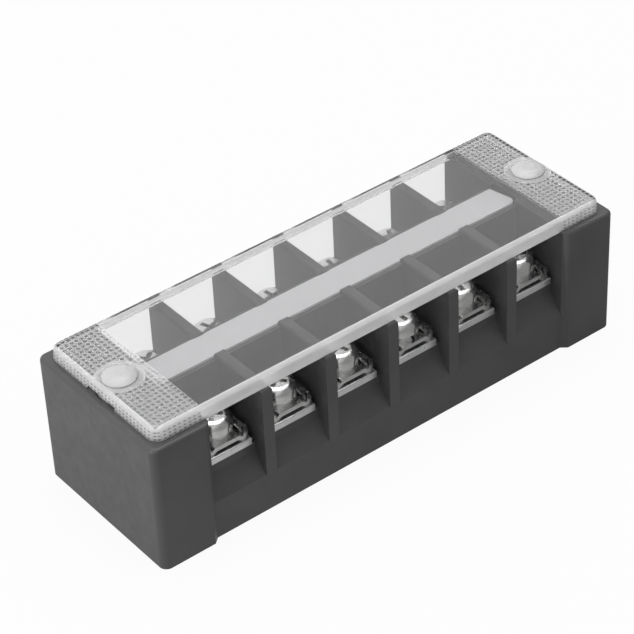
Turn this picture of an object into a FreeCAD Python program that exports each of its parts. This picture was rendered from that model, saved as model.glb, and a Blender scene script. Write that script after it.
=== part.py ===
import FreeCAD, Part
import math
import os
from types import SimpleNamespace

import Sketcher

# A barrier terminal strip with six poles: a black moulded base, a plated bar for each pole, a captive
# screw clamp at both ends of every bar, a white marker strip and a clear cover held by two domed pins.
# X runs along the strip, Y across it and Z up. The origin is the middle of the base's underside.

POLE_COUNT = 6

# Driving dimensions in millimetres
DIMENSIONS = {
    # base: overall form
    "pole_pitch": 14.0,
    "end_length": 10.5,
    "strip_width": 35.0,
    "block_height": 26.5,
    "corner_radius": 1.6,
    "rim_radius": 0.8,
    "face_inset": 1.0,
    "slant_run": 1.2,
    "end_pocket_inset": 1.6,
    # base: floor, ledge and ridge
    "floor_height": 14.0,
    "ledge_width": 27.4,
    "ledge_drop": 2.0,
    "slope_foot_height": 8.0,
    "ridge_width": 9.0,
    "ridge_drop": 0.9,
    # base: barriers
    "barrier_thickness": 2.2,
    "barrier_gap": 8.4,
    "barrier_inner_radius": 0.9,
    "barrier_outer_radius": 0.8,
    "end_barrier_thickness": 2.6,
    "barrier_clearance": 0.2,
    # base: holes
    "mount_inset": 5.75,
    "mount_hole": 4.6,
    "mount_head_bore": 8.4,
    "mount_seat_height": 8.0,
    "well_depth": 5.0,
    "well_gap": 0.4,
    # base: hollows in the underside
    "hollow_length": 9.4,
    "hollow_width": 9.4,
    "hollow_depth": 5.5,
    "hollow_radius": 1.0,
    # marker strip
    "marker_reach": 0.8,
    "marker_width": 6.2,
    "marker_thickness": 0.8,
    "marker_corner_radius": 1.2,
    "marker_skew": 1.2,
    "marker_groove_depth": 0.4,
    "marker_gap": 0.1,
    # terminal bar
    "bar_length": 28.4,
    "bar_width": 9.6,
    "bar_thickness": 1.5,
    "bar_edge_radius": 0.25,
    "bar_gap": 0.1,
    "terminal_spread": 19.0,
    # screw
    "screw_diameter": 4.0,
    "screw_length": 8.5,
    "screw_tip_chamfer": 0.5,
    "screw_gap": 0.05,
    "head_diameter": 8.0,
    "head_height": 2.7,
    "head_radius": 1.6,
    "recess_span": 4.6,
    "recess_width": 1.0,
    "recess_depth": 1.5,
    # spring washer
    "washer_diameter": 7.0,
    "washer_thickness": 1.1,
    "washer_slit": 0.7,
    "washer_slit_lean": 0.6,
    # pressure plate
    "plate_sheet": 0.85,
    "plate_depth": 8.4,
    "platform_width": 4.6,
    "platform_rise": 0.6,
    "ramp_run": 0.8,
    "foot_width": 0.8,
    "ear_run": 1.0,
    "ear_height": 2.5,
    "ear_corner_radius": 1.4,
    "bend_radius": 0.25,
    # cover
    "cover_inset": 1.6,
    "cover_height": 2.8,
    "cover_plate": 1.1,
    "cover_wall": 1.0,
    "cover_draft": 0.25,
    "cover_corner_radius": 2.2,
    "cover_edge_radius": 1.0,
    "notch_length": 8.4,
    "notch_height": 0.8,
    "boss_reach": 5.0,
    "boss_gap": 0.15,
    # cover pin
    "pin_diameter": 5.0,
    "pin_gap": 0.05,
    "pin_length": 7.0,
    "pin_tip_chamfer": 0.5,
    "pin_slit": 0.8,
    "pin_slit_length": 3.6,
    "dome_diameter": 6.2,
    "dome_height": 1.0,
    "dome_rim": 0.25,
    "dome_flat": 1.9,
    "dome_radius": 4.0,
}

# Each screw head stops at its own angle, so the cross recesses don't line up.
HEAD_ANGLE_STEP = 37.0

document = FreeCAD.newDocument("TerminalStrip")


class Size:
    """A length held twice: as a number, and as an expression that follows the sheet's cells."""

    def __init__(self, value, text):
        self.value = value
        self.text = text

    def __add__(self, other):
        other = as_size(other)
        return Size(self.value + other.value, f"({self.text} + {other.text})")

    def __sub__(self, other):
        other = as_size(other)
        return Size(self.value - other.value, f"({self.text} - {other.text})")

    def __mul__(self, other):
        other = as_size(other)
        return Size(self.value * other.value, f"({self.text} * {other.text})")

    def __truediv__(self, other):
        other = as_size(other)
        return Size(self.value / other.value, f"({self.text} / {other.text})")

    def __neg__(self):
        return Size(-self.value, f"(-{self.text})")

    def root(self):
        return Size(math.sqrt(self.value), f"sqrt({self.text})")


def as_size(number):
    """A Size as it is, or a plain number as a Size."""
    if isinstance(number, Size):
        return number
    return Size(float(number), f"({float(number)})")


def make_sheet():
    """Puts the driving dimensions into a spreadsheet and returns them as Sizes."""
    sheet = document.addObject("Spreadsheet::Sheet", "Sizes")
    named = {}
    for row, (name, value) in enumerate(DIMENSIONS.items(), start=1):
        sheet.set(f"A{row}", name)
        sheet.set(f"B{row}", str(value))
        sheet.setAlias(f"B{row}", name)
        named[name] = Size(value, f"Sizes.{name}")
    document.recompute()
    return SimpleNamespace(**named)


def bind(thing, name, size):
    """Makes a property follow the sheet."""
    thing.setExpression(name, as_size(size).text)


def origin_part(body, role):
    """One of the body's own origin planes or axes."""
    return next(part for part in body.Origin.OriginFeatures if part.Role == role)


def new_body(name, x=0, y=0, z=0, turn=0.0):
    """An empty body at a place of its own, turned about its upright axis."""
    body = document.addObject("PartDesign::Body", name)
    body.Label = name
    upright = FreeCAD.Vector(0, 0, 1)
    body.Placement = FreeCAD.Placement(FreeCAD.Vector(), FreeCAD.Rotation(upright, turn))
    bind(body, "Placement.Base.x", x)
    bind(body, "Placement.Base.y", y)
    bind(body, "Placement.Base.z", z)
    return body


def new_sketch(body, name, role, offset=0):
    """A sketch on one of the body's origin planes, moved along the plane's normal."""
    sketch = body.newObject("Sketcher::SketchObject", name)
    sketch.AttachmentSupport = [(origin_part(body, role), "")]
    sketch.MapMode = "FlatFace"
    bind(sketch, "AttachmentOffset.Base.z", offset)
    return sketch


def hold(sketch, kind, size, *where):
    """Adds a dimension whose value follows the sheet."""
    index = sketch.addConstraint(Sketcher.Constraint(kind, *where, as_size(size).value))
    sketch.setExpression(f"Constraints[{index}]", as_size(size).text)


def hold_point(sketch, x, y, geometry, end):
    """Ties a point of the sketch to the origin by its two coordinates."""
    hold(sketch, "DistanceX", x, -1, 1, geometry, end)
    hold(sketch, "DistanceY", y, -1, 1, geometry, end)


def draw_loop(sketch, corners):
    """A closed loop through corners (x, y), or (x, y, radius) where a corner is rounded."""
    count = len(corners)
    points = [FreeCAD.Vector(as_size(c[0]).value, as_size(c[1]).value, 0) for c in corners]
    reach = [0.0] * count
    for i, corner in enumerate(corners):
        if len(corner) == 3:
            back = points[i - 1] - points[i]
            ahead = points[(i + 1) % count] - points[i]
            reach[i] = corner[2].value / math.tan(back.getAngle(ahead) / 2)
    lines = []
    for i in range(count):
        start = points[i]
        end = points[(i + 1) % count]
        along = (end - start).normalize()
        edge = Part.LineSegment(start + along * reach[i], end - along * reach[(i + 1) % count])
        lines.append(sketch.addGeometry(edge))
    for i, corner in enumerate(corners):
        before = lines[i - 1]
        after = lines[i]
        if len(corner) == 2:
            sketch.addConstraint(Sketcher.Constraint("Coincident", before, 2, after, 1))
            hold_point(sketch, corner[0], corner[1], after, 1)
        else:
            round_corner(sketch, corner, points[i], before, after)


def round_corner(sketch, corner, point, before, after):
    """Joins two lines by an arc whose lines meet at the corner's point."""
    entry = sketch.Geometry[before].EndPoint
    leave = sketch.Geometry[after].StartPoint
    middle = (entry + leave) * 0.5
    radius = corner[2].value
    outward = (middle - point).normalize()
    centre = point + outward * math.hypot(radius, (entry - point).Length)
    left_turn = (point - entry).cross(leave - point).z > 0
    first, last = (entry, leave) if left_turn else (leave, entry)
    first_angle = math.atan2(first.y - centre.y, first.x - centre.x)
    last_angle = math.atan2(last.y - centre.y, last.x - centre.x)
    circle = Part.Circle(centre, FreeCAD.Vector(0, 0, 1), radius)
    arc = sketch.addGeometry(Part.ArcOfCircle(circle, first_angle, last_angle))
    entry_end, leave_end = (1, 2) if left_turn else (2, 1)
    mark = sketch.addGeometry(Part.Point(point), True)
    sketch.addConstraint(Sketcher.Constraint("Tangent", before, 2, arc, entry_end))
    sketch.addConstraint(Sketcher.Constraint("Tangent", arc, leave_end, after, 1))
    sketch.addConstraint(Sketcher.Constraint("PointOnObject", mark, 1, before))
    sketch.addConstraint(Sketcher.Constraint("PointOnObject", mark, 1, after))
    hold(sketch, "Radius", corner[2], arc)
    hold_point(sketch, corner[0], corner[1], mark, 1)


def draw_circle(sketch, x, y, diameter):
    """A circle with its centre and diameter tied to the sheet."""
    centre = FreeCAD.Vector(as_size(x).value, as_size(y).value, 0)
    circle = Part.Circle(centre, FreeCAD.Vector(0, 0, 1), diameter.value / 2)
    index = sketch.addGeometry(circle)
    hold(sketch, "Diameter", diameter, index)
    hold_point(sketch, x, y, index, 3)


def rectangle(half_x, half_y, radius=None):
    """The corners of a rectangle about the sketch's origin."""
    corners = [(half_x, half_y), (-half_x, half_y), (-half_x, -half_y), (half_x, -half_y)]
    if radius is None:
        return corners
    return [corner + (radius,) for corner in corners]


def across(corners):
    """The same loop on the other side of the sketch's upright axis."""
    return [(-as_size(corner[0]),) + tuple(corner[1:]) for corner in corners]


def feature(body, kind, name, sketch, length=None, symmetric=False, taper=None):
    """A pad or pocket of the sketch."""
    made = body.newObject(kind, name)
    made.Profile = sketch
    if symmetric:
        made.SideType = "Symmetric"
    if length is None:
        made.Type = "ThroughAll"
    else:
        bind(made, "Length", length)
    if taper is not None:
        bind(made, "TaperAngle", taper)
    document.recompute()
    return made


def pad(body, name, sketch, length, symmetric=False, taper=None):
    return feature(body, "PartDesign::Pad", name, sketch, length, symmetric, taper)


def pocket(body, name, sketch, length=None, symmetric=False, taper=None):
    """A cut, which has to take something away."""
    before = body.Shape.Volume
    made = feature(body, "PartDesign::Pocket", name, sketch, length, symmetric, taper)
    if body.Shape.Volume >= before:
        raise RuntimeError(f"{name} cuts nothing")
    return made


def revolve(body, name, sketch):
    """A full turn of the sketch about its upright axis."""
    made = body.newObject("PartDesign::Revolution", name)
    made.Profile = sketch
    made.ReferenceAxis = (sketch, ["V_Axis"])
    made.Angle = 360
    document.recompute()
    return made


def repeat(body, name, original, spacing, count):
    """Copies of a feature in a row along X."""
    row = body.newObject("PartDesign::LinearPattern", name)
    row.Originals = [original]
    row.Direction = (origin_part(body, "X_Axis"), [""])
    bind(row, "Length", spacing * (count - 1))
    row.Occurrences = count
    body.Tip = row
    document.recompute()
    return row


def mirror(body, name, original):
    """The same feature at the other end of the strip."""
    copy = body.newObject("PartDesign::Mirrored", name)
    copy.Originals = [original]
    copy.MirrorPlane = (origin_part(body, "YZ_Plane"), [""])
    body.Tip = copy
    document.recompute()
    return copy


def soften(body, name, kind, size, chosen):
    """A fillet or chamfer on the edges of the last feature for which chosen(edge) is true."""
    base = body.Tip
    edges = [f"Edge{i}" for i, edge in enumerate(base.Shape.Edges, start=1) if chosen(edge)]
    if not edges:
        raise RuntimeError(f"{name} finds no edge")
    made = body.newObject(kind, name)
    made.Base = (base, edges)
    bind(made, "Radius" if kind.endswith("Fillet") else "Size", size)
    document.recompute()
    return made


def near(number, size):
    """True where a measured coordinate is the given size."""
    return abs(number - as_size(size).value) < 0.001


def lies_at(edge, coordinate, size):
    """True where the whole edge lies in one plane across X, Y or Z."""
    box = edge.BoundBox
    low = getattr(box, coordinate + "Min")
    high = getattr(box, coordinate + "Max")
    return near(low, size) and near(high, size)


def pocket_end(s):
    """How far the outermost terminals' pockets reach from the middle."""
    return s.pole_pitch * (POLE_COUNT / 2) - s.end_pocket_inset


def ridge_height(s):
    """Height of the ridge, a little below the end blocks' tops."""
    return s.block_height - s.ridge_drop


def marker_seat(s):
    """Height of the floor of the marker strip's groove."""
    return ridge_height(s) - s.marker_groove_depth


def marker_end(s):
    """Half the marker strip's length: it reaches into both end blocks."""
    return pocket_end(s) + s.marker_reach


def barrier_height(s):
    """The barriers end just under the cover's plate."""
    return s.block_height + s.cover_height - s.cover_plate - s.barrier_clearance


def barrier_corners(s):
    """One barrier's outline in Y and Z: a wall with a cut corner that clears the cover's lip."""
    inner = s.barrier_gap / 2
    front = s.strip_width / 2 - s.face_inset
    root = s.floor_height - s.ledge_drop
    top = barrier_height(s)
    lip = s.cover_inset + s.cover_wall - s.face_inset
    cut = lip + s.barrier_clearance + top - s.block_height
    return [
        (inner, root),
        (front, root),
        (front, top - cut, s.barrier_outer_radius),
        (front - cut, top, s.barrier_outer_radius),
        (inner, top, s.barrier_inner_radius),
    ]


def make_base(s):
    """The moulded base."""
    body = new_body("base")
    span = s.pole_pitch * (POLE_COUNT / 2)
    end_face = span + s.end_length
    side_face = s.strip_width / 2
    middle_face = side_face - s.face_inset
    slant_start = pocket_end(s)
    slant_end = slant_start + s.slant_run
    first_pole = -(span - s.pole_pitch / 2)
    first_barrier = -(span - s.pole_pitch)
    mount_x = end_face - s.mount_inset

    # The middle section's floor block, with a ledge and a slope under every bar end.
    sketch = new_sketch(body, "floor_outline", "XY_Plane")
    draw_loop(sketch, rectangle(slant_end, middle_face))
    pad(body, "floor_block", sketch, s.floor_height)

    ledge = s.ledge_width / 2
    ledge_bottom = s.floor_height - s.ledge_drop
    slope_run = middle_face - ledge
    slope_fall = ledge_bottom - s.slope_foot_height
    slope = [
        (ledge, s.floor_height + 1),
        (ledge, ledge_bottom),
        (middle_face + slope_run, s.slope_foot_height - slope_fall),
        (middle_face + slope_run, s.floor_height + 1),
    ]
    sketch = new_sketch(body, "slope_outline", "YZ_Plane", first_pole)
    draw_loop(sketch, slope)
    draw_loop(sketch, across(slope))
    slopes = pocket(body, "slope", sketch, s.pole_pitch - s.barrier_thickness, symmetric=True)
    repeat(body, "slopes", slopes, s.pole_pitch, POLE_COUNT)

    # The end blocks stand proud of the middle section, with a slanted step between them.
    sketch = new_sketch(body, "end_block_outline", "XY_Plane")
    block = [
        (slant_start, -middle_face),
        (slant_end, -side_face),
        (end_face, -side_face, s.corner_radius),
        (end_face, side_face, s.corner_radius),
        (slant_end, side_face),
        (slant_start, middle_face),
    ]
    draw_loop(sketch, block)
    draw_loop(sketch, across(block))
    pad(body, "end_blocks", sketch, s.block_height)

    # The ridge carries the marker strip from one end block to the other.
    sketch = new_sketch(body, "ridge_outline", "YZ_Plane")
    half_ridge = s.ridge_width / 2
    draw_loop(sketch, [
        (-half_ridge, ledge_bottom),
        (half_ridge, ledge_bottom),
        (half_ridge, ridge_height(s)),
        (-half_ridge, ridge_height(s)),
    ])
    pad(body, "ridge", sketch, slant_end * 2, symmetric=True)

    # Barriers between the poles, on both sides of the ridge.
    sketch = new_sketch(body, "barrier_outline", "YZ_Plane", first_barrier)
    draw_loop(sketch, barrier_corners(s))
    draw_loop(sketch, across(barrier_corners(s)))
    barrier = pad(body, "barrier", sketch, s.barrier_thickness, symmetric=True)
    repeat(body, "barriers", barrier, s.pole_pitch, POLE_COUNT - 1)

    sketch = new_sketch(body, "end_barrier_outline", "YZ_Plane", slant_start)
    draw_loop(sketch, barrier_corners(s))
    draw_loop(sketch, across(barrier_corners(s)))
    barrier = pad(body, "end_barrier", sketch, s.end_barrier_thickness)
    mirror(body, "end_barriers", barrier)

    # A groove for the marker strip runs into both end blocks.
    sketch = new_sketch(body, "groove_outline", "XY_Plane", barrier_height(s))
    half_groove = s.marker_width / 2 + s.marker_gap
    draw_loop(sketch, rectangle(marker_end(s) + s.marker_gap, half_groove))
    pocket(body, "marker_groove", sketch, barrier_height(s) - marker_seat(s))

    # A slot through the ridge for every bar, and a well for each screw's tip.
    sketch = new_sketch(body, "slot_outline", "YZ_Plane", first_pole)
    slot_top = s.floor_height + s.bar_thickness + s.bar_gap
    draw_loop(sketch, [
        (-half_ridge - s.bar_gap, s.floor_height),
        (half_ridge + s.bar_gap, s.floor_height),
        (half_ridge + s.bar_gap, slot_top),
        (-half_ridge - s.bar_gap, slot_top),
    ])
    slot = pocket(body, "bar_slot", sketch, s.bar_width + s.bar_gap * 2, symmetric=True)
    repeat(body, "bar_slots", slot, s.pole_pitch, POLE_COUNT)

    sketch = new_sketch(body, "well_outline", "XY_Plane", s.floor_height)
    for side in (-1, 1):
        well_diameter = s.screw_diameter + s.well_gap * 2
        draw_circle(sketch, first_pole, s.terminal_spread * (side / 2), well_diameter)
    well = pocket(body, "screw_well", sketch, s.well_depth)
    repeat(body, "screw_wells", well, s.pole_pitch, POLE_COUNT)

    # The thick floor is hollowed from below under every terminal.
    sketch = new_sketch(body, "hollow_outline", "XY_Plane")
    for side in (-1, 1):
        middle = s.terminal_spread * (side / 2)
        half_x = s.hollow_length / 2
        half_y = s.hollow_width / 2
        draw_loop(sketch, [
            (first_pole + half_x, middle + half_y, s.hollow_radius),
            (first_pole - half_x, middle + half_y, s.hollow_radius),
            (first_pole - half_x, middle - half_y, s.hollow_radius),
            (first_pole + half_x, middle - half_y, s.hollow_radius),
        ])
    hollow = pocket_up(body, "hollow", sketch, s.hollow_depth)
    repeat(body, "hollows", hollow, s.pole_pitch, POLE_COUNT)

    # A stepped mounting hole in each end block.
    sketch = new_sketch(body, "head_bore_outline", "XY_Plane", barrier_height(s))
    draw_circle(sketch, mount_x, 0, s.mount_head_bore)
    draw_circle(sketch, -mount_x, 0, s.mount_head_bore)
    pocket(body, "head_bores", sketch, barrier_height(s) - s.mount_seat_height)
    sketch = new_sketch(body, "mount_hole_outline", "XY_Plane", s.mount_seat_height)
    draw_circle(sketch, mount_x, 0, s.mount_hole)
    draw_circle(sketch, -mount_x, 0, s.mount_hole)
    pocket(body, "mount_holes", sketch, s.mount_seat_height)

    def rim_edge(edge):
        """The outer edges of the end blocks' tops, with the arcs at their corners."""
        box = edge.BoundBox
        reaches_end = near(max(-box.XMin, box.XMax), end_face)
        on_side = lies_at(edge, "Y", side_face) or lies_at(edge, "Y", -side_face)
        return lies_at(edge, "Z", s.block_height) and (reaches_end or on_side)

    soften(body, "rounded_rims", "PartDesign::Fillet", s.rim_radius, rim_edge)
    return body


def make_marker_strip(s):
    """The white strip in the ridge's groove, cut askew at its right end."""
    body = new_body("marker_strip", z=marker_seat(s))
    sketch = new_sketch(body, "outline", "XY_Plane")
    half_length = marker_end(s)
    half_width = s.marker_width / 2
    draw_loop(sketch, [
        (half_length, -half_width, s.marker_corner_radius),
        (half_length - s.marker_skew, half_width),
        (-half_length, half_width),
        (-half_length, -half_width, s.marker_corner_radius),
    ])
    pad(body, "strip", sketch, s.marker_thickness)
    return body


def make_bar(s, name, x):
    """A plated bar with a hole for the screw at each end."""
    body = new_body(name, x=x, z=s.floor_height)
    sketch = new_sketch(body, "section", "YZ_Plane")
    half = s.bar_length / 2
    draw_loop(sketch, [
        (half, 0, s.bar_edge_radius),
        (half, s.bar_thickness, s.bar_edge_radius),
        (-half, s.bar_thickness, s.bar_edge_radius),
        (-half, 0, s.bar_edge_radius),
    ])
    pad(body, "bar", sketch, s.bar_width, symmetric=True)
    sketch = new_sketch(body, "hole_outline", "XY_Plane", s.bar_thickness)
    for side in (-1, 1):
        hole = s.screw_diameter + s.screw_gap * 2
        draw_circle(sketch, 0, s.terminal_spread * (side / 2), hole)
    pocket(body, "screw_holes", sketch)
    return body


def mitre(sheet, run, rise):
    """How far a bend moves the corner on the far side of the sheet: sheet x tan(half the turn)."""
    slant = (run * run + rise * rise).root()
    return sheet * (slant - run) / rise


def make_pressure_plate(s, name, x, y):
    """A square saddle plate: raised platform, two feet on the bar and two turned-up ears."""
    body = new_body(name, x=x, y=y, z=s.floor_height + s.bar_thickness)
    platform = s.platform_width / 2
    foot = platform + s.ramp_run
    ear = foot + s.foot_width
    tip = ear + s.ear_run
    ramp_shift = mitre(s.plate_sheet, s.ramp_run, s.platform_rise)
    ear_shift = mitre(s.plate_sheet, s.ear_run, s.ear_height)
    sheet_run = s.ear_run * (s.ear_height - s.plate_sheet) / s.ear_height
    half = [
        (platform, s.platform_rise, s.bend_radius),
        (foot, 0, s.bend_radius),
        (ear, 0, s.bend_radius),
        (tip, s.ear_height),
        (ear - ear_shift + sheet_run, s.ear_height),
        (ear - ear_shift, s.plate_sheet),
        (platform + ramp_shift, s.platform_rise + s.plate_sheet, s.bend_radius),
    ]
    sketch = new_sketch(body, "section", "XZ_Plane")
    draw_loop(sketch, half + across(half)[::-1])
    pad(body, "sheet", sketch, s.plate_depth, symmetric=True)
    sketch = new_sketch(body, "hole_outline", "XY_Plane", s.ear_height)
    draw_circle(sketch, 0, 0, s.screw_diameter + s.screw_gap * 2)
    pocket(body, "screw_hole", sketch)

    def ear_corner(edge):
        """The short edges at both ends of each ear's tip."""
        at_tip = lies_at(edge, "Z", s.ear_height)
        at_end = near(abs(edge.BoundBox.YMin), s.plate_depth / 2)
        return at_tip and at_end and edge.BoundBox.YLength < 0.001

    soften(body, "ear_corners", "PartDesign::Fillet", s.ear_corner_radius, ear_corner)
    return body


def clamp_top(s):
    """Height of the pressure plates' platform tops."""
    return s.floor_height + s.bar_thickness + s.platform_rise + s.plate_sheet


def make_spring_washer(s, name, x, y, turn):
    """A split washer, pressed flat, with a slanted slit."""
    body = new_body(name, x=x, y=y, z=clamp_top(s), turn=turn)
    sketch = new_sketch(body, "outline", "XY_Plane")
    draw_circle(sketch, 0, 0, s.washer_diameter)
    draw_circle(sketch, 0, 0, s.screw_diameter + s.screw_gap * 2)
    pad(body, "ring", sketch, s.washer_thickness)
    sketch = new_sketch(body, "slit_outline", "XZ_Plane")
    lean = s.washer_slit_lean / 2
    half_slit = s.washer_slit / 2
    draw_loop(sketch, [
        (-half_slit - lean, 0),
        (half_slit - lean, 0),
        (half_slit + lean, s.washer_thickness),
        (-half_slit + lean, s.washer_thickness),
    ])
    pocket(body, "slit", sketch, s.washer_diameter)
    return body


def make_screw(s, name, x, y, turn):
    """A pan head screw with a cross recess."""
    body = new_body(name, x=x, y=y, z=clamp_top(s) + s.washer_thickness, turn=turn)
    shank = s.screw_diameter / 2
    head = s.head_diameter / 2
    tip = -s.screw_length
    sketch = new_sketch(body, "half_section", "XZ_Plane")
    draw_loop(sketch, [
        (0, tip),
        (shank - s.screw_tip_chamfer, tip),
        (shank, tip + s.screw_tip_chamfer),
        (shank, 0),
        (head, 0),
        (head, s.head_height, s.head_radius),
        (0, s.head_height),
    ])
    revolve(body, "turned_form", sketch)
    sketch = new_sketch(body, "recess_outline", "XY_Plane", s.head_height)
    arm = s.recess_span / 2
    slot = s.recess_width / 2
    quarter = [(arm, -slot), (arm, slot), (slot, slot)]
    cross = []
    for _ in range(4):
        cross += quarter
        quarter = [(-as_size(b), a) for a, b in quarter]
    draw_loop(sketch, cross)
    pocket(body, "recess", sketch, s.recess_depth)
    return body


def make_cover(s):
    """The clear cover: a shallow tray, upside down, with a boss for a pin under each end."""
    body = new_body("cover", z=s.block_height)
    end_face = s.pole_pitch * (POLE_COUNT / 2) + s.end_length
    foot_x = end_face - s.cover_inset
    foot_y = s.strip_width / 2 - s.cover_inset
    mount_x = end_face - s.mount_inset
    cavity = s.cover_height - s.cover_plate
    draft = Size(
        math.degrees(math.atan2(s.cover_draft.value, s.cover_height.value)),
        f"atan({s.cover_draft.text} / {s.cover_height.text})",
    )

    sketch = new_sketch(body, "outline", "XY_Plane")
    draw_loop(sketch, rectangle(foot_x, foot_y, s.cover_corner_radius))
    pad(body, "block", sketch, s.cover_height, taper=-draft)

    def top_edge(edge):
        return lies_at(edge, "Z", s.cover_height)

    soften(body, "rounded_top", "PartDesign::Fillet", s.cover_edge_radius, top_edge)

    sketch = new_sketch(body, "cavity_outline", "XY_Plane")
    inner_radius = s.cover_corner_radius - s.cover_wall
    inner = rectangle(foot_x - s.cover_wall, foot_y - s.cover_wall, inner_radius)
    draw_loop(sketch, inner)
    hollow = pocket_up(body, "cavity", sketch, cavity)
    bind(hollow, "TaperAngle", -draft)
    document.recompute()

    # Bosses reach down into the base's head bores.
    sketch = new_sketch(body, "boss_outline", "XY_Plane", -s.boss_reach)
    boss = s.mount_head_bore - s.boss_gap * 2
    draw_circle(sketch, mount_x, 0, boss)
    draw_circle(sketch, -mount_x, 0, boss)
    pad(body, "bosses", sketch, s.boss_reach + cavity + s.cover_plate / 2)
    sketch = new_sketch(body, "pin_hole_outline", "XY_Plane", s.cover_height)
    draw_circle(sketch, mount_x, 0, s.pin_diameter)
    draw_circle(sketch, -mount_x, 0, s.pin_diameter)
    pocket(body, "pin_holes", sketch)

    # A pry notch in the middle of each end's lip.
    sketch = new_sketch(body, "notch_outline", "YZ_Plane", foot_x)
    half_notch = s.notch_length / 2
    draw_loop(sketch, [
        (-half_notch, -s.notch_height),
        (half_notch, -s.notch_height),
        (half_notch, s.notch_height),
        (-half_notch, s.notch_height),
    ])
    notch = pocket(body, "notch", sketch, s.cover_wall / 2)
    mirror(body, "notches", notch)
    return body


def pocket_up(body, name, sketch, depth):
    """A cut from the sketch upwards."""
    made = body.newObject("PartDesign::Pocket", name)
    made.Profile = sketch
    made.Reversed = True
    bind(made, "Length", depth)
    document.recompute()
    return made


def make_cover_pin(s, name, side):
    """A domed pin with a slit shank."""
    mount_x = s.pole_pitch * (POLE_COUNT / 2) + s.end_length - s.mount_inset
    body = new_body(name, x=mount_x * side, z=s.block_height + s.cover_height)
    shank = s.pin_diameter / 2 - s.pin_gap
    dome = s.dome_diameter / 2
    sketch = new_sketch(body, "half_section", "XZ_Plane")
    draw_loop(sketch, [
        (0, -s.pin_length),
        (shank - s.pin_tip_chamfer, -s.pin_length),
        (shank, -s.pin_length + s.pin_tip_chamfer),
        (shank, 0),
        (dome, 0),
        (dome, s.dome_rim),
        (s.dome_flat, s.dome_height, s.dome_radius),
        (0, s.dome_height),
    ])
    revolve(body, "turned_form", sketch)
    sketch = new_sketch(body, "slit_outline", "XZ_Plane")
    half_slit = s.pin_slit / 2
    slit_top = -s.pin_length + s.pin_slit_length
    draw_loop(sketch, [
        (-half_slit, -s.pin_length),
        (half_slit, -s.pin_length),
        (half_slit, slit_top),
        (-half_slit, slit_top),
    ])
    pocket(body, "slit", sketch, s.pin_diameter, symmetric=True)
    return body


def make_strip():
    """Every piece of the terminal strip."""
    s = make_sheet()
    bodies = [make_base(s), make_marker_strip(s), make_cover(s)]
    bodies.append(make_cover_pin(s, "cover_pin_left", -1))
    bodies.append(make_cover_pin(s, "cover_pin_right", 1))
    for pole in range(POLE_COUNT):
        x = s.pole_pitch * (pole - (POLE_COUNT - 1) / 2)
        bodies.append(make_bar(s, f"terminal_bar_{pole + 1}", x))
        for side, sign in (("front", -1), ("rear", 1)):
            y = s.terminal_spread * (sign / 2)
            place = f"{side}_{pole + 1}"
            turn = HEAD_ANGLE_STEP * (2 * pole + sign)
            bodies.append(make_pressure_plate(s, f"pressure_plate_{place}", x, y))
            bodies.append(make_spring_washer(s, f"spring_washer_{place}", x, y, turn))
            bodies.append(make_screw(s, f"screw_{place}", x, y, turn))
    return bodies


def check(bodies):
    """Stops where a feature failed or a piece isn't one sound solid."""
    for thing in document.Objects:
        if "Invalid" in thing.State or "Error" in thing.State:
            raise RuntimeError(f"{thing.Label} failed: {thing.State}")
    for body in bodies:
        shape = body.Shape
        if shape.isNull() or not shape.isValid() or len(shape.Solids) != 1:
            raise RuntimeError(f"{body.Label} isn't one valid solid")


pieces = make_strip()
document.recompute()
check(pieces)
os.makedirs("parts", exist_ok=True)
for piece in pieces:
    piece.Shape.exportStep(f"parts/{piece.Label}.step")
    print(f"{piece.Label}: {piece.Shape.Volume:.1f} mm3")
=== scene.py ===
import math

import bmesh
import bpy
from mathutils import Matrix, Quaternion, Vector


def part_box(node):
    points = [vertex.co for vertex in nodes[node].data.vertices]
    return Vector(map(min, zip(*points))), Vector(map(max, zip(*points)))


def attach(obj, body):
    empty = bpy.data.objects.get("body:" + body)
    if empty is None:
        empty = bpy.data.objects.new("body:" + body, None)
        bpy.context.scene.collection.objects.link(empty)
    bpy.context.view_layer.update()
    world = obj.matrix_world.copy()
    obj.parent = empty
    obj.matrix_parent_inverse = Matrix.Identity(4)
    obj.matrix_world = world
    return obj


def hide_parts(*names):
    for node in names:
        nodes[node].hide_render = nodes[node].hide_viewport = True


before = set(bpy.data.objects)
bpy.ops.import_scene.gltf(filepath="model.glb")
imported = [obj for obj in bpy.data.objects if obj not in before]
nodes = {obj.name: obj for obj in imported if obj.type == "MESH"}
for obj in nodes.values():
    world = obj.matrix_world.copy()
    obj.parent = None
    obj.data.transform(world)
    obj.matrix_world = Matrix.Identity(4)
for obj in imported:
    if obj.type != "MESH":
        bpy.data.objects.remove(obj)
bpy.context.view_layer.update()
print("frame loaded,", len(nodes), "nodes")

mm = 0.001
poles = 6
terminals = [f"{row}_{pole}" for pole in range(1, poles + 1) for row in ("front", "rear")]
noiseRange = {"low": 0.3, "span": 0.4}  # where most values of a noise lie
near = {
    "cut": 1e-8,  # metres, as the next four
    "level": 1e-7,
    "weld": 1e-6,
    "snap": 3e-6,
    "top": 1e-5,
    "flat": 0.2,  # degrees between two faces that are one flat face
    "upright": 0.999,  # the height of a flat top's normal
}


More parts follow.
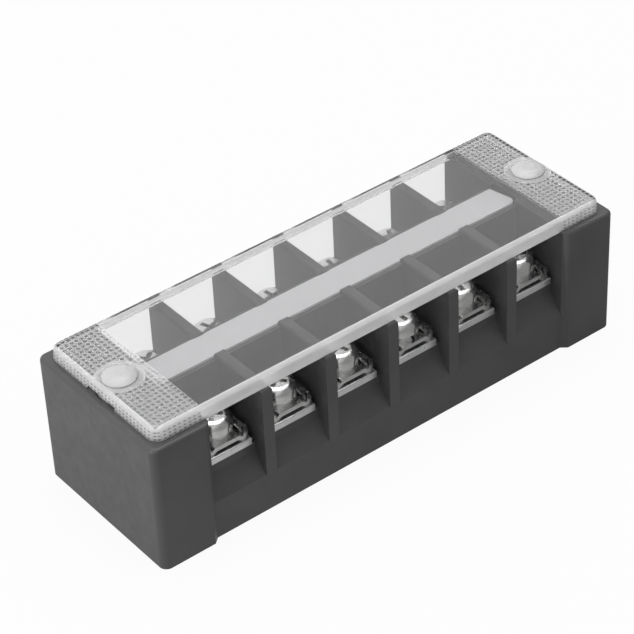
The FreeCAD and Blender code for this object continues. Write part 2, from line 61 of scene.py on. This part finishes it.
class Wire:
    # the output of a shader node, so that a sum of outputs reads as a sum
    def __init__(self, tree, output=None):
        self.tree = tree
        self.output = output

    def node(self, kind, settings=None, inputs=None, output=0):
        made = self.tree.nodes.new(kind)
        for name, value in (settings or {}).items():
            setattr(made, name, value)
        for name, value in (inputs or {}).items():
            if isinstance(value, Wire):
                self.tree.links.new(value.output, made.inputs[name])
            else:
                made.inputs[name].default_value = value
        return Wire(self.tree, made.outputs[output] if made.outputs else None)

    def maths(self, operation, *values):
        return self.node("ShaderNodeMath", {"operation": operation}, dict(enumerate(values)))

    def __add__(self, other):
        return self.maths("ADD", self, other)

    __radd__ = __add__

    def __sub__(self, other):
        return self.maths("SUBTRACT", self, other)

    def __rsub__(self, other):
        return self.maths("SUBTRACT", other, self)

    def __mul__(self, other):
        return self.maths("MULTIPLY", self, other)

    __rmul__ = __mul__

    def __gt__(self, other):
        return self.maths("GREATER_THAN", self, other)

    def __lt__(self, other):
        return self.maths("LESS_THAN", self, other)

    def __abs__(self):
        return self.maths("ABSOLUTE", self)

    def fraction(self):
        return self.maths("FRACT", self)

    def root(self):
        return self.maths("SQRT", self)

    def atLeast(self, other):
        return self.maths("MAXIMUM", self, other)


def newMaterial(name):
    material = bpy.data.materials.new(name)
    material.use_nodes = True
    material.node_tree.nodes.clear()
    return material, Wire(material.node_tree)


def finishMaterial(start, surface):
    start.node("ShaderNodeOutputMaterial", inputs={"Surface": surface})


def objectPoint(start):
    return start.node("ShaderNodeTexCoord", output="Object")


def axes(start, point):
    return [start.node("ShaderNodeSeparateXYZ", inputs={0: point}, output=i) for i in range(3)]


def noise(start, point, perMetre, detail=3.0):
    inputs = {"Vector": point, "Scale": perMetre, "Detail": detail}
    return start.node("ShaderNodeTexNoise", inputs=inputs)


def spread(factor, low, high):
    # most values of a noise, spread over low to high
    return (factor - noiseRange["low"]) * ((high - low) / noiseRange["span"]) + low


def tone(start, factor, low, high):
    inputs = {0: factor, 6: (*low, 1), 7: (*high, 1)}
    return start.node("ShaderNodeMix", {"data_type": "RGBA"}, inputs, output=2)


def bump(start, height, depth):
    return start.node("ShaderNodeBump", inputs={"Height": height, "Distance": depth})


def mixShaders(start, factor, first, second):
    return start.node("ShaderNodeMixShader", inputs={0: factor, 1: first, 2: second})


def principled(start, **inputs):
    # Base_Color stands for the input Base Color, and so on
    named = {name.replace("_", " "): value for name, value in inputs.items()}
    return start.node("ShaderNodeBsdfPrincipled", inputs=named)


def paint(thing, material):
    if thing.material_slots:
        for place in thing.material_slots:
            place.material = material
    else:
        thing.data.materials.append(material)


def weld(shape):
    bmesh.ops.remove_doubles(shape, verts=shape.verts, dist=near["weld"])


def flatten(shape):
    # turns a flat side's triangles into one face
    angle = math.radians(near["flat"])
    bmesh.ops.dissolve_limit(shape, angle_limit=angle, verts=shape.verts, edges=shape.edges)


def copyOf(name):
    shape = bmesh.new()
    shape.from_mesh(nodes[name].data)
    weld(shape)
    return shape


def cut(shape, faces, place, normal):
    # cuts these faces along a plane and keeps both sides
    parts = list(faces)
    for face in faces:
        parts += list(face.edges) + list(face.verts)
    bmesh.ops.bisect_plane(
        shape, geom=list(dict.fromkeys(parts)), dist=near["cut"],
        plane_co=place, plane_no=normal,
    )


def soften(shape, edges, radius, segments):
    bmesh.ops.bevel(
        shape, geom=edges, offset=radius, offset_type="OFFSET", segments=segments,
        profile=0.5, affect="EDGES", clamp_overlap=True, material=-1,
    )


def newPiece(name, shape, material, body, slot, *replaced):
    # turns a bmesh into a finished piece that rides on a body
    mesh = bpy.data.meshes.new(name)
    shape.to_mesh(mesh)
    shape.free()
    piece = bpy.data.objects.new(name, mesh)
    bpy.context.collection.objects.link(piece)
    paint(piece, material)
    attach(piece, body)
    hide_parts(*replaced)


# The base is black phenolic, with its long edges slightly worn round.
phenolic = {
    "dark": (0.045, 0.045, 0.046),
    "light": (0.055, 0.055, 0.056),
    "mottle": 130,  # blotches per metre
    "mottleDetail": 5.0,
    "roughness": (0.40, 0.52),
    "spots": 520,  # duller and glossier spots per metre
    "specular": 0.5,
    "grain": 3200,
    "grainDetail": 2.0,
    "grainDepth": 0.03 * mm,
}
moulding = {
    "blockTop": 26.5 * mm,
    "endBarriers": (39 * mm, 44 * mm),  # between these, from the middle
    "ridgeTo": 41 * mm,
    "ridgeSide": (4.5 * mm, 4.0 * mm),  # modelled, and as it looks
    "worn": 0.16 * mm,
    "wornSegments": 2,
    "wornFrom": 0.64 * mm,  # edges shorter than this stay sharp
    "turn": 25,  # degrees between two faces that make an edge
}
# The barriers between the poles have flat tops and upright outer edges.
barrier = {
    "pitch": 14.0 * mm,
    "thickness": 2.3 * mm,
    "inner": 2.95 * mm,
    "outer": 16.53 * mm,
    "low": 8.0 * mm,
    "high": 26.44 * mm,
    "topRadius": 0.45 * mm,
    "topSegments": 4,
    "furthest": 36 * mm,  # the modelled ones stand nearer to the middle than this
    "sunk": 0.3 * mm,  # and are cut off this far below the new tops
}


def phenolicMaterial():
    material, start = newMaterial("black_phenolic")
    point = objectPoint(start)
    mottle = spread(noise(start, point, phenolic["mottle"], phenolic["mottleDetail"]), 0, 1)
    grain = noise(start, point, phenolic["grain"], phenolic["grainDetail"])
    surface = principled(
        start,
        Base_Color=tone(start, mottle, phenolic["dark"], phenolic["light"]),
        Roughness=spread(noise(start, point, phenolic["spots"]), *phenolic["roughness"]),
        Specular_IOR_Level=phenolic["specular"],
        Normal=bump(start, grain, phenolic["grainDepth"]),
    )
    finishMaterial(start, surface)
    return material


def trim(shape, nearest, furthest, level):
    # takes away what stands above a level, at this distance from the middle along X
    def within(x):
        return nearest < abs(x) < furthest

    tall = [face for face in shape.faces if within(face.calc_center_median().x)]
    tall = [face for face in tall if max(vert.co.z for vert in face.verts) > level]
    cut(shape, tall, (0, 0, level), (0, 0, 1))
    high = [vert for vert in shape.verts if vert.co.z > level + near["level"]]
    over = [vert for vert in high if within(vert.co.x)]
    bmesh.ops.delete(shape, geom=over, context="VERTS")
    rim = [edge for edge in shape.edges if edge.is_boundary]
    bmesh.ops.holes_fill(shape, edges=rim, sides=0)


def addBarrier(shape, x, side):
    left = x - barrier["thickness"] / 2
    corners = [("outer", "low"), ("outer", "high"), ("inner", "high"), ("inner", "low")]
    outline = []
    for out, up in corners:
        outline.append(shape.verts.new((left, side * barrier[out], barrier[up])))
    face = shape.faces.new(outline)
    wall = bmesh.ops.extrude_face_region(shape, geom=[face])["geom"]
    moved = [part for part in wall if isinstance(part, bmesh.types.BMVert)]
    bmesh.ops.translate(shape, verts=moved, vec=(barrier["thickness"], 0, 0))
    verts = outline + moved
    faces = list(dict.fromkeys(face for vert in verts for face in vert.link_faces))
    bmesh.ops.recalc_face_normals(shape, faces=faces)

    def onTop(edge):
        return all(abs(vert.co.z - barrier["high"]) < near["level"] for vert in edge.verts)

    edges = list(dict.fromkeys(edge for vert in verts for edge in vert.link_edges))
    top = [edge for edge in edges if onTop(edge)]
    soften(shape, top, barrier["topRadius"], barrier["topSegments"])


def isWorn(edge):
    if len(edge.link_faces) != 2 or not edge.is_convex:
        return False
    turned = edge.calc_face_angle() > math.radians(moulding["turn"])
    return turned and edge.calc_length() > moulding["wornFrom"]


def makeBase():
    shape = copyOf("base")
    flatten(shape)
    trim(shape, 0, barrier["furthest"], barrier["high"] - barrier["sunk"])
    trim(shape, *moulding["endBarriers"], moulding["blockTop"] + near["weld"])
    modelled, seen = moulding["ridgeSide"]
    for vert in shape.verts:
        if abs(vert.co.z - moulding["blockTop"]) < near["snap"]:
            vert.co.z = moulding["blockTop"]
        onSide = abs(abs(vert.co.y) - modelled) < near["snap"]
        if onSide and abs(vert.co.x) < moulding["ridgeTo"]:
            vert.co.y = math.copysign(seen, vert.co.y)
    weld(shape)
    flatten(shape)
    for number in range(1 - poles // 2, poles // 2):
        for side in (-1, 1):
            addBarrier(shape, number * barrier["pitch"], side)
    worn = [edge for edge in shape.edges if isWorn(edge)]
    soften(shape, worn, moulding["worn"], moulding["wornSegments"])
    return shape


newPiece("softened_base", makeBase(), phenolicMaterial(), "housing", "base_moulding", "base")
print("base made")

# The marker strip is a white card-like plastic.
marker = {
    "dark": (0.74, 0.74, 0.75),
    "light": (0.79, 0.79, 0.80),
    "mottle": 300,
    "roughness": (0.45, 0.6),
    "spots": 900,
    "grain": 2400,
    "grainDepth": 0.02 * mm,
}


def markerMaterial():
    material, start = newMaterial("white_marker")
    point = objectPoint(start)
    mottle = spread(noise(start, point, marker["mottle"]), 0, 1)
    surface = principled(
        start,
        Base_Color=tone(start, mottle, marker["dark"], marker["light"]),
        Roughness=spread(noise(start, point, marker["spots"]), *marker["roughness"]),
        Normal=bump(start, noise(start, point, marker["grain"]), marker["grainDepth"]),
    )
    finishMaterial(start, surface)
    return material


paint(nodes["marker_strip"], markerMaterial())
print("marker strip painted")

# The metal is plated: the bars and screws are paler than the plates and washers. The bars are
# paler partly from their plating and partly as a painted highlight for their bright front edges;
# the plates are darker partly from their plating and partly as painted shade on their ears.
plating = {
    # paler partly as a painted highlight on the bars' front edges
    "bar": {
        "dark": (0.74, 0.74, 0.74),
        "light": (0.84, 0.84, 0.84),
        "roughness": (0.26, 0.42),
        "scratch": 0.012 * mm,
    },
    # darker partly as painted shade on the plates' ears
    "plate": {
        "dark": (0.54, 0.54, 0.53),
        "light": (0.66, 0.66, 0.65),
        "roughness": (0.16, 0.32),
        "scratch": 0.010 * mm,
    },
    "washer": {
        "dark": (0.58, 0.58, 0.58),
        "light": (0.70, 0.70, 0.70),
        "roughness": (0.22, 0.36),
        "scratch": 0.008 * mm,
    },
    "screw": {
        "dark": (0.64, 0.64, 0.63),
        "light": (0.78, 0.78, 0.77),
        "roughness": (0.14, 0.30),
        "scratch": 0.006 * mm,
    },
}
metalGrain = {
    "mottle": 500,
    "mottleDetail": 4.0,
    "spots": 1400,
    "scratches": 5000,
    "scratchDetail": 2.0,
    "stretch": (0.25, 1.0, 1.0),  # scratches run along X
}


def platedMaterial(name):
    look = plating[name]
    material, start = newMaterial("plated_" + name)
    point = objectPoint(start)
    drawn = start.node(
        "ShaderNodeMapping", inputs={"Vector": point, "Scale": metalGrain["stretch"]},
    )
    mottle = noise(start, point, metalGrain["mottle"], metalGrain["mottleDetail"])
    scratches = noise(start, drawn, metalGrain["scratches"], metalGrain["scratchDetail"])
    surface = principled(
        start,
        Base_Color=tone(start, spread(mottle, 0, 1), look["dark"], look["light"]),
        Metallic=1.0,
        Roughness=spread(noise(start, point, metalGrain["spots"]), *look["roughness"]),
        Normal=bump(start, scratches, look["scratch"]),
    )
    finishMaterial(start, surface)
    return material


metal = {name: platedMaterial(name) for name in plating}
for pole in range(1, poles + 1):
    paint(nodes[f"terminal_bar_{pole}"], metal["bar"])
for terminal in terminals:
    paint(nodes[f"spring_washer_{terminal}"], metal["washer"])
print("metal painted")

# Every screw keeps its head, a little narrower, and gets a real thread on its shank.
screw = {
    "headScale": 0.9,
    "length": 8.5 * mm,  # from the tip to the head
    "pitch": 0.7 * mm,
    "crest": 1.97 * mm,
    "root": 1.56 * mm,
    "land": 0.10 * mm,
    "neck": 0.55 * mm,
    "neckRadius": 2.0 * mm,
    "tip": 0.45 * mm,  # no thread this near to the tip
    "tipHeight": 0.3 * mm,
    "tipRadius": 1.2 * mm,
    "steps": 28,
    "flat": 0.95,  # the height of the tip face's normal
}


def turned(shape, profile, axis, steps, turns=1, rise=0.0):
    # spins a chain of (radius, height) points about an upright axis
    points = []
    for radius, height in profile:
        points.append(shape.verts.new((axis.x + radius, axis.y, height)))
    edges = [shape.edges.new(pair) for pair in zip(points, points[1:])]
    bmesh.ops.spin(
        shape, geom=points + edges, cent=(axis.x, axis.y, 0), axis=(0, 0, 1),
        dvec=(0, 0, rise / steps), angle=2 * math.pi * turns, steps=steps * turns,
        use_merge=turns == 1 and rise == 0,
    )


def makeShank(axis, under, end):
    shape = bmesh.new()
    crest, root, pitch, land = screw["crest"], screw["root"], screw["pitch"], screw["land"]
    top = under - screw["neck"]
    turns = int((top - end - screw["tip"]) / pitch)
    bottom = top - turns * pitch
    flank = (pitch - 2 * land) / 2
    start = top - pitch
    section = [
        (root, start + pitch),
        (root, start + 2 * flank + land),
        (crest, start + flank + land),
        (crest, start + flank),
        (root, start),
    ]
    neck = [(screw["neckRadius"], under), (screw["neckRadius"], top), (root, top - flank)]
    tip = [(root, bottom), (root, end + screw["tipHeight"]), (screw["tipRadius"], end), (0, end)]
    turned(shape, section, axis, screw["steps"], turns, -pitch)
    turned(shape, neck, axis, screw["steps"])
    turned(shape, tip, axis, screw["steps"])
    weld(shape)
    for face in shape.faces:
        face.normal_update()
        middle = face.calc_center_median() - axis
        outwards = face.normal.x * middle.x + face.normal.y * middle.y
        if face.normal.z > screw["flat"]:
            face.normal_flip()
        elif outwards < 0 and face.normal.z > -screw["flat"]:
            face.normal_flip()
    return shape


def makeScrew(name):
    low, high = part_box(name)
    axis = (low + high) / 2
    under = low.z + screw["length"]
    shape = copyOf(name)
    lowest = under - near["weld"]
    shank = [face for face in shape.faces if face.calc_center_median().z < lowest]
    bmesh.ops.delete(shape, geom=shank, context="FACES")
    narrower = (screw["headScale"], screw["headScale"], 1)
    toAxis = Matrix.Translation((-axis.x, -axis.y, 0))
    bmesh.ops.scale(shape, verts=shape.verts, vec=narrower, space=toAxis)
    made = makeShank(axis, under, low.z)
    joined = bpy.data.meshes.new("shank")
    made.to_mesh(joined)
    made.free()
    shape.from_mesh(joined)
    bpy.data.meshes.remove(joined)
    return shape


for terminal in terminals:
    name = f"screw_{terminal}"
    newPiece(f"threaded_{name}", makeScrew(name), metal["screw"], name, "plated_screw", name)
print("screws made")

# The pressure plates' turned-up ears are low.
ears = {
    "from": 3.95 * mm,  # from the plate's middle, along X
    "foot": 0.85 * mm,
    "modelled": 2.5 * mm,
    "height": 1.8 * mm,
}


def makePlate(name):
    low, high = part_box(name)
    middle = (low + high) / 2
    shape = copyOf(name)
    shrink = (ears["height"] - ears["foot"]) / (ears["modelled"] - ears["foot"])
    foot = low.z + ears["foot"]
    for vert in shape.verts:
        if abs(vert.co.x - middle.x) > ears["from"] and vert.co.z > foot:
            vert.co.z = foot + (vert.co.z - foot) * shrink
    return shape


for terminal in terminals:
    name, body = f"pressure_plate_{terminal}", f"clamp_{terminal}"
    newPiece(f"pressed_{name}", makePlate(name), metal["plate"], body, "plated_plate", name)
print("plates made")

# The cover's pins are milky plastic.
pinLook = {
    "colour": (0.46, 0.46, 0.46),
    "roughness": (0.25, 0.4),
    "spots": 700,
    "milkiness": 0.6,
    "depth": (2.0 * mm, 2.0 * mm, 2.0 * mm),
    "grain": 1500,
    "grainDepth": 0.02 * mm,
}


def pinMaterial():
    material, start = newMaterial("milky_plastic")
    point = objectPoint(start)
    surface = principled(
        start,
        Base_Color=(*pinLook["colour"], 1),
        Roughness=spread(noise(start, point, pinLook["spots"]), *pinLook["roughness"]),
        Subsurface_Weight=pinLook["milkiness"],
        Subsurface_Radius=pinLook["depth"],
        Subsurface_Scale=1.0,
        Normal=bump(start, noise(start, point, pinLook["grain"]), pinLook["grainDepth"]),
    )
    finishMaterial(start, surface)
    return material


milkyPlastic = pinMaterial()
for end in ("left", "right"):
    paint(nodes[f"cover_pin_{end}"], milkyPlastic)
print("pins painted")

# The cover is a clear moulding with a frosted lip and knurled ends.
knurl = {
    "from": 41.0 * mm,  # where the knurled ends begin, from the middle
    "columns": 8,
    "pitchX": 1.03 * mm,
    "lines": 28,
    "rowEdge": 14.6 * mm,  # where the lines end, from the middle
    "rise": 0.05 * mm,
    "areaSlack": 0.02 * mm * mm,
    "dot": 0.34,  # radius of the clear dot in a cell of the top, in cells
    "pinX": 46.75 * mm,
    "plainRing": 4.45 * mm,  # plain this near to a pin's middle
    "plainStrip": 2.2 * mm,  # half the width of the plain finish from there to the end
    "lipFrom": 26.55 * mm,
    "lipStep": 0.68 * mm,
    "lipTo": 28.55 * mm,
    "pit": 0.26,  # radius of the pit in a cell of the lip, in cells
    "pitClear": 0.5,
}
coverLook = {
    "clear": (0.84, 0.84, 0.845),
    "clearSpots": 400,
    "clearRoughness": (0.015, 0.04),
    "clearBend": 1.5,
    "milkDark": (0.80, 0.80, 0.80),
    "milkLight": (0.86, 0.86, 0.86),
    "milkMottle": 600,
    "milkRoughness": (0.4, 0.6),
    "milkDepth": (1.5 * mm, 1.5 * mm, 1.5 * mm),
    "ground": (0.93, 0.93, 0.93),  # rough glass, which the frost is mixed with
    "groundRoughness": (0.4, 0.55),
    "groundBend": 1.3,
    "grain": 4200,
    "grainDetail": 2.0,
    "grainDepth": 0.03 * mm,
}
frost = {
    "milk": 0.5,  # how much of the frost is milk, and the rest is rough glass
    "rimX": 50.05 * mm,  # the lip's walls stand outside these, from the middle
    "rimY": 15.0 * mm,
    "rearLip": 0.10,  # 0 is clear and 1 is frosted all through
    "rearEdge": 0.95,
    "edgeFrom": 28.3 * mm,
    "veil": 0.05,  # on the clear plate
    "hill": 0.57,  # on the knurled ends between their dots
    "valley": 0.0,
    "plain": 0.8,
}


def distance(first, second):
    return (first * first + second * second).root()


def fromCellMiddle(first, second):
    # how far a point is from the middle of its cell, in cells
    return distance(first.fraction() - 0.5, second.fraction() - 0.5)


def clearPlate(start, point):
    spots = noise(start, point, coverLook["clearSpots"])
    return principled(
        start,
        Base_Color=(*coverLook["clear"], 1),
        Roughness=spread(spots, *coverLook["clearRoughness"]),
        Transmission_Weight=1.0,
        IOR=coverLook["clearBend"],
    )


def frostedLip(start, point, behind):
    grain = noise(start, point, coverLook["grain"], coverLook["grainDetail"])
    mottle = spread(noise(start, point, coverLook["milkMottle"]), 0, 1)
    milk = principled(
        start,
        Base_Color=tone(start, mottle, coverLook["milkDark"], coverLook["milkLight"]),
        Roughness=spread(grain, *coverLook["milkRoughness"]),
        Subsurface_Weight=1.0,
        Subsurface_Radius=coverLook["milkDepth"],
        Subsurface_Scale=1.0,
        Normal=bump(start, grain, coverLook["grainDepth"]),
    )
    ground = principled(
        start,
        Base_Color=(*coverLook["ground"], 1),
        Roughness=spread(grain, *coverLook["groundRoughness"]),
        Transmission_Weight=1.0,
        IOR=coverLook["groundBend"],
    )
    return mixShaders(start, behind * (1 - frost["milk"]) + frost["milk"], ground, milk)


def coverMaterial():
    material, start = newMaterial("clear_cover")
    point = objectPoint(start)
    x, y, z = axes(start, point)
    side = abs(x)
    behind = y > frost["rimY"]
    knurled = side > knurl["from"]
    column = (side - knurl["from"]) * (1 / knurl["pitchX"])
    line = (y + knurl["rowEdge"]) * (knurl["lines"] / (2 * knurl["rowEdge"]))
    layer = (z - knurl["lipFrom"]) * (1 / knurl["lipStep"])

    # the top: a faint veil, and at the ends frost with a clear dot in every cell
    dots = fromCellMiddle(column, line) < knurl["dot"]
    hill = frost["hill"] - dots * (frost["hill"] - frost["valley"])
    ring = distance(side - knurl["pinX"], y) < knurl["plainRing"]
    strip = (side > knurl["pinX"]) * (abs(y) < knurl["plainStrip"])
    plain = ring.atLeast(strip)
    top = frost["veil"] + knurled * (hill - frost["veil"] + plain * (frost["plain"] - hill))

    # the lip: frosted, with clearer pits in the end walls and the knurled ends of the front
    endWall = side > frost["rimX"]
    longWall = y < -frost["rimY"]
    endPits = endWall * (fromCellMiddle(line, layer) < knurl["pit"])
    longPits = longWall * knurled * (fromCellMiddle(column, layer) < knurl["pit"])
    pits = (endPits + longPits) * (z < knurl["lipTo"])
    wall = endWall.atLeast(longWall)
    frosted = top + wall * (1 - pits * knurl["pitClear"] - top)

    # the rear lip: nearly clear, with a frosted edge
    edge = (z > frost["edgeFrom"]) * (frost["rearEdge"] - frost["rearLip"])
    rear = behind * (1 - wall) * (edge + frost["rearLip"])
    frosted = frosted.atLeast(rear)
    surface = mixShaders(
        start, frosted, clearPlate(start, point), frostedLip(start, point, behind),
    )
    finishMaterial(start, surface)
    return material


def makeCover():
    shape = copyOf("cover")
    flatten(shape)
    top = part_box("cover")[1].z
    end = knurl["from"] + knurl["columns"] * knurl["pitchX"]
    pitchY = 2 * knurl["rowEdge"] / knurl["lines"]

    def topFaces(furtherThan):
        # the top's faces, from this distance to the ends
        flat = [face for face in shape.faces if face.normal.z > near["upright"]]
        middles = [(face, face.calc_center_median()) for face in flat]
        onTop = [(face, place) for face, place in middles if place.z > top - near["top"]]
        return [face for face, place in onTop if abs(place.x) > furtherThan]

    for sign in (-1, 1):
        for column in range(knurl["columns"] + 1):
            place = sign * (knurl["from"] + column * knurl["pitchX"])
            cut(shape, topFaces(-1), (place, 0, 0), (1, 0, 0))
    for line in range(knurl["lines"] + 1):
        place = -knurl["rowEdge"] + line * pitchY
        cut(shape, topFaces(knurl["from"]), (0, place, 0), (0, 1, 0))
    cells = []
    for face in topFaces(knurl["from"]):
        middle = face.calc_center_median()
        fromPin = Vector((abs(middle.x) - knurl["pinX"], middle.y)).length
        full = abs(face.calc_area() - knurl["pitchX"] * pitchY) < knurl["areaSlack"]
        inside = abs(middle.x) < end and abs(middle.y) < knurl["rowEdge"]
        if full and inside and fromPin > knurl["plainRing"]:
            cells.append(face)
    print("pyramids:", len(cells))
    bmesh.ops.poke(shape, faces=cells, offset=knurl["rise"], center_mode="MEAN")
    return shape


newPiece("knurled_cover", makeCover(), coverMaterial(), "cover", "clear_cover", "cover")
print("cover made")

# The camera stands where the photo's camera stood.
cameraView = {
    "place": (-218.022 * mm, -285.669 * mm, 293.046 * mm),
    "aim": (-1.391 * mm, 3.789 * mm, 16.881 * mm),
    "roll": -2.83,  # degrees
    "lens": 141.64,
    "sensor": 36,
    "nearest": 10 * mm,
}
lamps = {
    "key": {"place": (-0.75, 0.02, 0.30), "width": 0.5, "watts": 3.0},
    "sky": {"place": (0.1, 0.1, 0.8), "width": 0.7, "watts": 4.0},
}
surroundings = {
    "even": 0.75,  # the light that reaches matt surfaces from all around
    "dim": 0.30,  # what polished surfaces mirror on the right in front, and white elsewhere
    "turn": (-0.45, 0.35),  # from dim to white, towards the left and the back
    "sideways": 0.7,
    "upwards": 0.4,
}
floorLook = {
    "grey": 0.6,
    "white": 0.93,
    "perMetre": 4.0,  # how fast the mirrored floor turns white
    "shift": 0.20,
    "drop": 0.02 * mm,  # keeps it clear of the base's underside
    "radius": 3.0,
    "segments": 64,
}


def makeCamera():
    camera = bpy.data.objects.new("camera", bpy.data.cameras.new("camera"))
    bpy.context.collection.objects.link(camera)
    camera.data.lens = cameraView["lens"]
    camera.data.sensor_width = cameraView["sensor"]
    camera.data.clip_start = cameraView["nearest"]
    camera.location = cameraView["place"]
    look = Vector(cameraView["aim"]) - Vector(cameraView["place"])
    roll = Quaternion((0, 0, 1), math.radians(cameraView["roll"]))
    camera.rotation_mode = "QUATERNION"
    camera.rotation_quaternion = look.to_track_quat("-Z", "Y") @ roll
    bpy.context.scene.camera = camera


def makeLamp(name):
    look = lamps[name]
    lamp = bpy.data.objects.new(name, bpy.data.lights.new(name, "AREA"))
    bpy.context.collection.objects.link(lamp)
    lamp.data.size = look["width"]
    lamp.data.energy = look["watts"]
    lamp.location = look["place"]
    lamp.rotation_mode = "QUATERNION"
    lamp.rotation_quaternion = (-Vector(look["place"])).to_track_quat("-Z", "Y")


def rays(start, *kinds):
    # 1 for a ray of one of these kinds
    found = [start.node("ShaderNodeLightPath", output=f"Is {kind} Ray") for kind in kinds]
    return found[0] if len(found) == 1 else found[0].atLeast(found[1])


def light(start, kind, strength):
    return start.node(kind, inputs={"Color": (1, 1, 1, 1), "Strength": strength})


def mirrored(start, kind, along):
    # dim towards the right in front, white towards the left and the back
    low, high = surroundings["turn"]
    inputs = {"Value": along, "From Min": low, "From Max": high}
    turn = start.node("ShaderNodeMapRange", inputs=inputs)
    dim = light(start, kind, surroundings["dim"])
    return mixShaders(start, turn, dim, light(start, kind, 1.0))


def makeWorld():
    world = bpy.data.worlds.new("studio")
    world.use_nodes = True
    world.node_tree.nodes.clear()
    start = Wire(world.node_tree)
    kind = "ShaderNodeBackground"
    x, y, z = axes(start, start.node("ShaderNodeTexCoord", output="Generated"))
    sideways = surroundings["sideways"]
    along = y * sideways - x * sideways + z * surroundings["upwards"]
    even = light(start, kind, surroundings["even"])
    room = mixShaders(start, rays(start, "Glossy"), even, mirrored(start, kind, along))
    white = rays(start, "Camera", "Transmission")
    seen = mixShaders(start, white, room, light(start, kind, 1.0))
    start.node("ShaderNodeOutputWorld", inputs={"Surface": seen})
    bpy.context.scene.world = world


def floorMaterial():
    material, start = newMaterial("pale_floor")
    kind = "ShaderNodeEmission"
    grey = floorLook["grey"]
    x, y, _ = axes(start, objectPoint(start))
    along = (y - x) * floorLook["perMetre"] - floorLook["shift"]
    matt = start.node("ShaderNodeBsdfDiffuse", inputs={"Color": (grey, grey, grey, 1)})
    lit = mixShaders(start, rays(start, "Glossy"), matt, mirrored(start, kind, along))
    white = rays(start, "Camera", "Transmission") * floorLook["white"]
    finishMaterial(start, mixShaders(start, white, lit, light(start, kind, 1.0)))
    return material


def makeFloor():
    shape = bmesh.new()
    low = Matrix.Translation((0, 0, -floorLook["drop"]))
    bmesh.ops.create_circle(
        shape, cap_ends=True, segments=floorLook["segments"], radius=floorLook["radius"],
        matrix=low,
    )
    mesh = bpy.data.meshes.new("floor")
    shape.to_mesh(mesh)
    shape.free()
    floor = bpy.data.objects.new("floor", mesh)
    bpy.context.collection.objects.link(floor)
    paint(floor, floorMaterial())


makeCamera()
for name in lamps:
    makeLamp(name)
makeWorld()
makeFloor()
bpy.context.scene.view_settings.view_transform = "Standard"
print("camera, lamps and floor ready")
